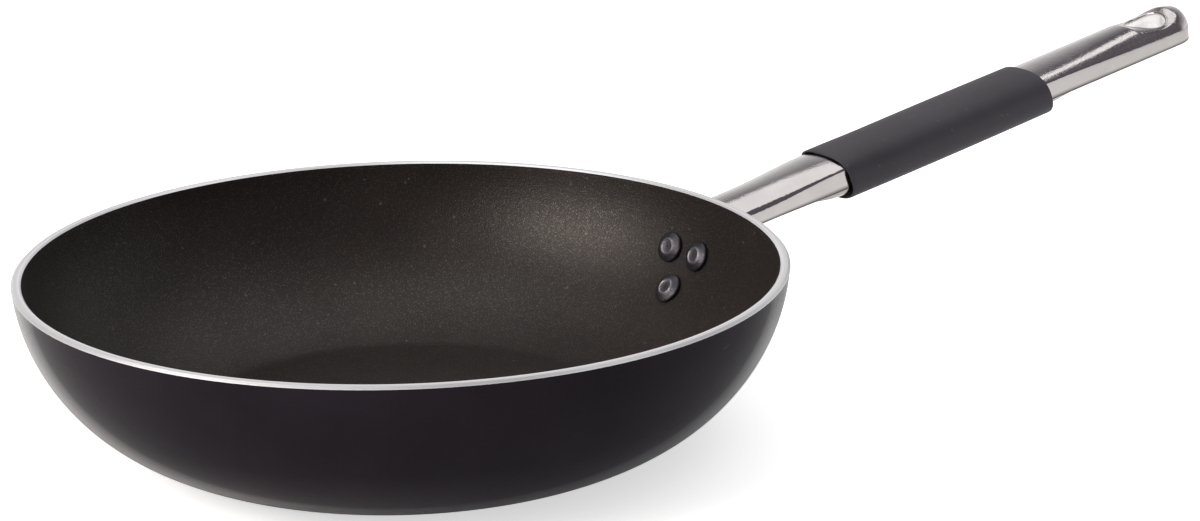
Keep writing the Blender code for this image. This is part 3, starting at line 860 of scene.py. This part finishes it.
def dishAt(station, side):
    # the top is pressed down round the hole, as far as its ridge
    share = (station - holeLook["station"]) / (0.5 * holeLook["length"])
    edge = holeHalfWidth(min(max(share, -1.0), 1.0))
    lengthwise = (abs(share) - 1.0) / (holeLook["dishReach"] - 1.0)
    sideways = (abs(side) - edge) / (holeLook["ridgeSide"] - edge)
    away = math.hypot(max(lengthwise, 0.0), max(sideways, 0.0))
    return holeLook["dishDepth"] * (1.0 - eased(away))


def plateRadius(height):
    offset = handleLook["seatClearance"] + 0.5 * handleLook["sheetThickness"]
    return wallPoint(sweepAtHeight(height, offset), offset)[0]


def neckStart(side, up):
    station = handleSections[0][0]
    for _ in range(20):
        point = handlePoint(station, side, up)
        station -= (math.hypot(point.x, point.y) - plateRadius(point.z)) / math.cos(handleLook["riseAngle"])
    return station


def handleRows():
    # rows of points across the handle, in its own level axes
    look = handleLook
    first = neckStart(0.0, 0.0)
    noseStart = look["tipStation"] - look["noseLength"]
    end = sleeveLook["length"]
    dishStart = holeLook["station"] - 0.5 * holeLook["dishReach"] * holeLook["length"]
    # where each stretch of the handle ends, and its number of rows
    marks = [(first, 0), (first + look["flareLength"], 10), (-look["bellyTaperNear"], 8)]
    marks += [(handleSections[1][0], 16), (handleSections[2][0], 12)]
    marks += [(look["bellyTaperInside"], 8), (end - look["bellyTaperInside"], 10), (end, 8)]
    marks += [(end + look["bellyTaperFar"], 16), (dishStart, 12), (noseStart, 56)]
    stations = [first]
    for (low, _), (high, steps) in zip(marks, marks[1:]):
        stations += [between(low, high, i / steps) for i in range(1, steps + 1)]
    shrinks = [1.0] * len(stations)
    for i in range(1, look["noseSteps"] + 1):
        angle = 0.5 * math.pi * i / look["noseSteps"]
        stations.append(noseStart + look["noseLength"] * math.sin(angle))
        shrinks.append(max(math.cos(angle), 0.0))
    rows = []
    for station, shrink in zip(stations, shrinks):
        share = max(0.0, 1.0 - (station - first) / look["flareLength"])
        half = halfSection(station, shrink, share**2)
        row = []
        for side, up in [(-side, up) for side, up in half[::-1]] + half[1:]:
            at = station + ((neckStart(side, up) - first) * share if share > 0.0 else 0.0)
            row.append((at, side, up - (dishAt(station, side) if station > end else 0.0)))
        rows.append(row)
    return rows


def gridThrough(name, rows, columnShares=None):
    # a grid whose rows are moved onto the given points
    bpy.ops.mesh.primitive_grid_add(x_subdivisions=len(rows) - 1, y_subdivisions=len(rows[0]) - 1, size=1.0)
    piece = bpy.context.object
    piece.name = name
    piece.data.name = name
    startEdit(piece)
    mesh = bmesh.from_edit_mesh(piece.data)
    # the column shares are kept on the points; the handle's are its painted crease shade
    mark = mesh.verts.layers.float.new("creaseShadeShare") if columnShares else None
    for vert in mesh.verts:
        row = round((vert.co.x + 0.5) * (len(rows) - 1))
        column = round((vert.co.y + 0.5) * (len(rows[0]) - 1))
        vert.co = rows[row][column]
        if columnShares:
            vert[mark] = columnShares[column]
    bmesh.update_edit_mesh(piece.data)
    bpy.ops.mesh.select_all(action="SELECT")
    bpy.ops.mesh.remove_doubles(threshold=weldDistance)
    endEdit()
    return piece


def plateHalfWidth(drop, upperDrop, lowerDrop):
    margin = handleLook["plateEdgeMargin"]
    upperWidth = 0.5 * rivetLook["upperSpacing"] + margin
    if drop <= upperDrop:
        share = eased((drop - handleLook["plateTopDrop"]) / (upperDrop - handleLook["plateTopDrop"]))
        return between(handleLook["plateTopHalfWidth"], upperWidth, share)
    if drop <= lowerDrop:
        return between(upperWidth, margin, eased((drop - upperDrop) / (lowerDrop - upperDrop)))
    below = min((drop - lowerDrop) / margin, 1.0)
    return margin * math.sqrt(1.0 - below * below)


def plateRows():
    look = handleLook
    places = rivetPlaces()
    upperDrop = bowlLook["height"] - wallPoint(places[0][3])[1]
    lowerDrop = bowlLook["height"] - wallPoint(places[2][3])[1]
    steps = look["plateSteps"]
    roundSteps = look["plateRoundSteps"]
    columns = look["plateColumns"]
    margin = look["plateEdgeMargin"]
    drops = [between(look["plateTopDrop"], upperDrop, i / steps) for i in range(steps + 1)]
    drops += [between(upperDrop, lowerDrop, i / steps) for i in range(1, steps + 1)]
    drops += [lowerDrop + margin * math.sin(0.5 * math.pi * i / roundSteps) for i in range(1, roundSteps + 1)]
    rows = []
    for drop in drops:
        radius, height = wallPoint(sweepAtHeight(bowlLook["height"] - drop), look["seatClearance"])
        reach = plateHalfWidth(drop, upperDrop, lowerDrop) / radius
        turns = [between(-reach, reach, i / columns) for i in range(columns + 1)]
        rows.append([(radius * math.cos(turn), radius * math.sin(turn), height) for turn in turns])
    return rows


def holeOutlinePiece(name, height):
    # the hole's outline as a ring of edges, level with the handle
    bpy.ops.mesh.primitive_circle_add(vertices=holeLook["steps"], radius=1.0)
    piece = bpy.context.object
    piece.name = name
    startEdit(piece)
    mesh = bmesh.from_edit_mesh(piece.data)
    for vert in mesh.verts:
        along, across = holeEdge(math.atan2(vert.co.y, vert.co.x))
        vert.co = (holeLook["station"] + along, across, height(holeLook["station"] + along, across))
    bmesh.update_edit_mesh(piece.data)
    endEdit()
    return piece


def topHeight(station, side):
    halfWidth, crest, edge, straight = sectionAt(station)
    shoulder = edge + straight
    dome = math.sqrt(max(1.0 - (side / halfWidth) ** 2, 0.0))
    return shoulder + (crest - shoulder) * dome - dishAt(station, side)


def cutHole(sheet):
    cutter = holeOutlinePiece("holeCutter", lambda station, side: -holeLook["cutBelow"])
    startEdit(cutter)
    bpy.ops.mesh.select_all(action="SELECT")
    bpy.ops.mesh.edge_face_add()
    bpy.ops.mesh.extrude_region_move(TRANSFORM_OT_translate={"value": (0, 0, holeLook["cutDepth"])})
    bpy.ops.mesh.select_all(action="SELECT")
    bpy.ops.mesh.normals_make_consistent(inside=False)
    endEdit()
    cut = sheet.modifiers.new("hole", "BOOLEAN")
    cut.operation = "DIFFERENCE"
    cut.solver = "EXACT"
    cut.object = cutter
    applyAll(sheet)
    bpy.data.objects.remove(cutter, do_unlink=True)


def makeSteel(name, colour, roughness, depth):
    look = handleLook
    material, tree, shader, place = newMaterial(name, colour, roughness, 1.0)
    grain = useGroup(tree, surfaceGrain, place, **look["grain"])
    scratches = useGroup(tree, hairScratches, place, **look["scratches"])
    # the crease's dark line is painted shade, mixed into the steel's colour
    crease = addNode(tree, "ShaderNodeAttribute", attribute_name="creaseShadeShare").outputs["Fac"]
    darker = shaded(colour, look["clouding"])
    clouded = mixedBy(tree, grain["Coarse"], wideRange, darker, colour)
    marked = mixColour(tree, scaled(tree, scratches["Mask"], look["scratchStrength"]), clouded, darker)
    creaseShaded = mixColour(tree, scaled(tree, crease, look["creaseShadeStrength"]), marked, look["creaseShadeColour"])
    wire(tree, creaseShaded, shader.inputs["Base Color"])
    rough = roughnessBy(tree, grain["Coarse"], roughness, *look["roughnessSpread"])
    roughened = mathNode(tree, "ADD", rough, scaled(tree, scratches["Mask"], look["scratchRoughness"]))
    wire(tree, roughened, shader.inputs["Roughness"])
    height = mathNode(tree, "ADD", grain["Fine"], scaled(tree, scratches["Height"], look["scratchHeight"]))
    addBump(tree, shader, height, depth)
    return material


steel = makeSteel("polishedSteel", handleLook["colour"], handleLook["roughness"], handleLook["bumpDepth"])
# a near-white copy of the steel for the sheet's inner faces: painted light
paintedWhiteInnerSteel = makeSteel(
    "paintedWhiteSteel",
    handleLook["insideColour"],
    handleLook["insideRoughness"],
    handleLook["insideBumpDepth"],
)

handleSheet = gridThrough("handleSheet", handleRows(), creaseShadeShares())
giveMaterials(handleSheet, steel, paintedWhiteInnerSteel)
wall = handleSheet.modifiers.new("sheet", "SOLIDIFY")
wall.thickness = handleLook["sheetThickness"]
wall.offset = -1.0
wall.use_even_offset = True
wall.material_offset = 1
applyAll(handleSheet)
cutHole(handleSheet)
settle(handleSheet, handlePlace)

mountPlate = gridThrough("mountPlate", plateRows())
plateWall = mountPlate.modifiers.new("sheet", "SOLIDIFY")
plateWall.thickness = handleLook["sheetThickness"]
plateWall.offset = 1.0
plateWall.use_even_offset = True
plateEdge = mountPlate.modifiers.new("edge", "BEVEL")
plateEdge.width = handleLook["plateEdgeRounding"]
plateEdge.segments = 2
plateEdge.angle_limit = math.radians(50)
applyAll(mountPlate)


def rimHeight(station, side):
    return topHeight(station, side) - 0.5 * handleLook["sheetThickness"]


holeRim = holeOutlinePiece("holeRim", rimHeight)
selectOnly(holeRim)
bpy.ops.object.convert(target="CURVE")
holeRim.data.bevel_depth = holeLook["edgeRadius"]
holeRim.data.bevel_resolution = 5
bpy.ops.object.convert(target="MESH")
settle(holeRim, handlePlace)
print("handle made:", len(handleSheet.data.polygons), "faces")

for piece in (handleSheet, mountPlate, holeRim):
    if piece != handleSheet:
        giveMaterials(piece, steel)
    smoothOver(piece, 22 if piece == handleSheet else 40)
    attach(piece, "root")
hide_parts("handle")


# Rivets go in once the sheet's thickness is known

rivetMetal = makeRivetMetal()
ringMiddle = 0.5 * (rivetLook["dishRadius"] + rivetLook["bossRadius"])
for name, node, turn, sweep in rivetPlaces():
    rivet = turnedPiece(name, rivetOutline(sweep), rivetLook["roundSteps"])
    ring = rivet.data.attributes.new("ringShare", "FLOAT", "POINT")
    for vert in rivet.data.vertices:
        away = abs(math.hypot(vert.co.x, vert.co.y) - ringMiddle)
        share = 1.0 - eased(away / rivetLook["ringSpread"])
        ring.data[vert.index].value = share if vert.co.z > 0.0 else 0.0
    settle(rivet, rivetPlace(turn, sweep))
    giveMaterials(rivet, rivetMetal)
    smoothOver(rivet, 45)
    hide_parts(node)
    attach(rivet, "root")
print("rivets made")


# Grip sleeve: a tube drawn over the handle

def makeSilicone():
    look = sleeveLook
    colour = look["colour"]
    material, tree, shader, place = newMaterial("gripSilicone", colour, look["roughness"])
    grain = useGroup(tree, surfaceGrain, place, **look["grain"])
    scratches = useGroup(tree, hairScratches, place, **look["scratches"])
    patches = useGroup(tree, surfaceGrain, place, **look["scratchPatches"])
    lint = useGroup(tree, glitterFlakes, place, **look["lint"])
    patch = spread(tree, patches["Coarse"], *look["scratchRange"])
    scuffed = mathNode(tree, "MULTIPLY", scratches["Mask"], patch)
    darker, lighter = [shaded(colour, share) for share in look["unevenness"]]
    tinted = mixedBy(tree, grain["Coarse"], wideRange, darker, lighter)
    marked = mixColour(tree, scaled(tree, scuffed, look["scratchStrength"]), tinted, look["scratchColour"])
    dusty = mixColour(tree, scaled(tree, lint["Mask"], look["lintStrength"]), marked, look["lintColour"])
    wire(tree, dusty, shader.inputs["Base Color"])
    rough = roughnessBy(tree, grain["Fine"], look["roughness"], *look["roughnessSpread"])
    wire(tree, rough, shader.inputs["Roughness"])
    shader.inputs["Specular IOR Level"].default_value = look["gloss"]
    shader.inputs["Sheen Weight"].default_value = look["sheen"]
    addBump(tree, shader, grain["Fine"], look["bumpDepth"])
    return material


def squared(share, squareness):
    return math.copysign(abs(share) ** (2.0 / squareness), share)


def sleeveRows():
    # a squared oval whose ends lean, crowned a little along its length,
    # and squarer above at its near end, where the neck's corners run into it
    look = sleeveLook
    rows = []
    for i in range(look["steps"] + 1):
        station = look["length"] * i / look["steps"]
        high = sleeveHalfHeight(station)
        blend = eased(station / look["nearBlend"])
        wide = between(look["nearHalfWidth"], look["halfWidth"], blend)
        squareAbove = between(look["nearSquarenessAbove"], look["squareness"], blend)
        row = []
        for k in range(look["sides"] + 1):
            angle = 2.0 * math.pi * k / look["sides"]
            square = squareAbove if math.cos(angle) > 0.0 else look["squareness"]
            up = look["lift"] + high * squared(math.cos(angle), square)
            row.append((station - look["endSlant"] * up, wide * squared(math.sin(angle), square), up))
        rows.append(row)
    return rows


def makeSleeve():
    look = sleeveLook
    piece = gridThrough("gripSleeve", sleeveRows())
    wall = piece.modifiers.new("wall", "SOLIDIFY")
    wall.thickness = look["thickness"]
    wall.offset = -1.0
    wall.use_even_offset = True
    rounding = piece.modifiers.new("rounding", "BEVEL")
    rounding.width = look["endRounding"]
    rounding.segments = 4
    rounding.angle_limit = math.radians(50)
    applyAll(piece)
    settle(piece, handlePlace)
    return piece


gripSleeve = makeSleeve()
giveMaterials(gripSleeve, makeSilicone())
smoothOver(gripSleeve, 60)
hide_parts("grip_sleeve")
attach(gripSleeve, "root")
print("sleeve made:", len(gripSleeve.data.polygons), "faces")


# Floor, surroundings, lamps and camera

studioLook = {
    "floorSize": 14.0,
    "floorDrop": 0.0003,
    "floorColour": (0.80, 0.80, 0.80),
    "floorRoughness": 0.7,
    "floorGloss": 0.15,
    "floorLift": 0.60,
    "floorMirrorShare": 0.10,
    "fillStrength": 0.68,
    "backWhite": (1.0, 0.99, 1.0),
    "frontDark": (0.135, 0.122, 0.140),
    "zenithGrey": (0.150, 0.135, 0.158),
    "backBands": ((0.85, -0.05, 0.35), (2.2, 0.4, 1.6)),
    "zenithRange": (0.12, 0.72),
    "topPlace": (-0.25, 0.30, 1.5),
    "topAim": (0.0, 0.0, 0.03),
    "topSize": (1.1, 1.1),
    "topPower": 6.5,
    "sidePlace": (-1.13, 0.18, 0.67),
    "sideAim": (0.1, 0.04, 0.04),
    "sideSize": (0.85, 0.65),
    "sidePower": 16.0,
    "sideColour": (1.0, 0.93, 0.88),
    "neckPlace": (0.60, 0.08, 1.03),
    "neckSize": (0.56, 1.45),
    "neckPower": 2.9,
    "tipPlace": (0.98, 0.19, 1.03),
    "tipSize": (0.15, 0.32),
    "tipPower": 0.24,
}


def makeFloor():
    look = studioLook
    bpy.ops.mesh.primitive_plane_add(size=look["floorSize"], location=(0.0, 0.0, -look["floorDrop"]))
    floor = bpy.context.object
    floor.name = "studioFloor"
    material, tree, shader, _ = newMaterial("studioWhite", look["floorColour"], look["floorRoughness"])
    shader.inputs["Specular IOR Level"].default_value = look["floorGloss"]
    path = addNode(tree, "ShaderNodeLightPath").outputs
    mirrored = scaled(tree, path["Is Glossy Ray"], look["floorMirrorShare"])
    seen = mathNode(tree, "MAXIMUM", path["Is Camera Ray"], mirrored)
    seen = mathNode(tree, "MAXIMUM", seen, path["Is Transmission Ray"])
    shader.inputs["Emission Color"].default_value = (1.0, 1.0, 1.0, 1.0)
    wire(tree, scaled(tree, seen, look["floorLift"]), shader.inputs["Emission Strength"])
    giveMaterials(floor, material)


def makeSurroundings():
    # white behind the pan and past its handle, dim in front of it, to its left and overhead
    world = bpy.data.worlds.new("studioSurround")
    bpy.context.scene.world = world
    world.use_nodes = True
    tree = world.node_tree
    background = tree.nodes["Background"]
    path = addNode(tree, "ShaderNodeLightPath").outputs
    direction = addNode(tree, "ShaderNodeTexCoord").outputs["Generated"]
    split = addNode(tree, "ShaderNodeSeparateXYZ")
    wire(tree, direction, split.inputs["Vector"])
    shares = []
    for lean, low, high in studioLook["backBands"]:
        along = scaled(tree, split.outputs["X"], lean)
        shares.append(spread(tree, mathNode(tree, "ADD", split.outputs["Y"], along), low, high))
    backShare = mathNode(tree, "MINIMUM", shares[0], shares[1])
    lift = spread(tree, split.outputs["Z"], *studioLook["zenithRange"])
    level = mixColour(tree, lift, studioLook["backWhite"], studioLook["zenithGrey"])
    around = mixColour(tree, backShare, studioLook["frontDark"], level)
    fill = (studioLook["fillStrength"],) * 3
    shown = mixColour(tree, path["Is Glossy Ray"], fill, around)
    seen = mathNode(tree, "MAXIMUM", path["Is Camera Ray"], path["Is Transmission Ray"])
    wire(tree, mixColour(tree, seen, shown, (1.0, 1.0, 1.0)), background.inputs["Color"])
    background.inputs["Strength"].default_value = 1.0


def addLamp(kind):
    # a lamp with no aim of its own points straight down
    place = Vector(studioLook[kind + "Place"])
    aim = Vector(studioLook.get(kind + "Aim", place - Vector((0.0, 0.0, 1.0))))
    bpy.ops.object.light_add(type="AREA", location=place)
    lamp = bpy.context.object
    lamp.name = kind + "Lamp"
    lamp.rotation_euler = (aim - place).to_track_quat("-Z", "Y").to_euler()
    lamp.data.energy = studioLook[kind + "Power"]
    lamp.data.color = studioLook.get(kind + "Colour", (1.0, 1.0, 1.0))
    lamp.data.shape = "RECTANGLE"
    lamp.data.size, lamp.data.size_y = studioLook[kind + "Size"]


makeFloor()
makeSurroundings()
for kind in ("top", "side", "neck", "tip"):
    addLamp(kind)

cameraLook = {
    "place": (-0.57072, -0.87215, 0.37929),
    "turn": (73.1261, 0.5803, -37.2950),
    "lens": 90.0,
    "sensor": 36.0,
}
cameraTurn = [math.radians(angle) for angle in cameraLook["turn"]]
bpy.ops.object.camera_add(location=cameraLook["place"], rotation=cameraTurn)
camera = bpy.context.object
camera.data.lens = cameraLook["lens"]
camera.data.sensor_width = cameraLook["sensor"]
bpy.context.scene.camera = camera
bpy.context.scene.view_settings.view_transform = "Standard"
print("studio and camera ready")
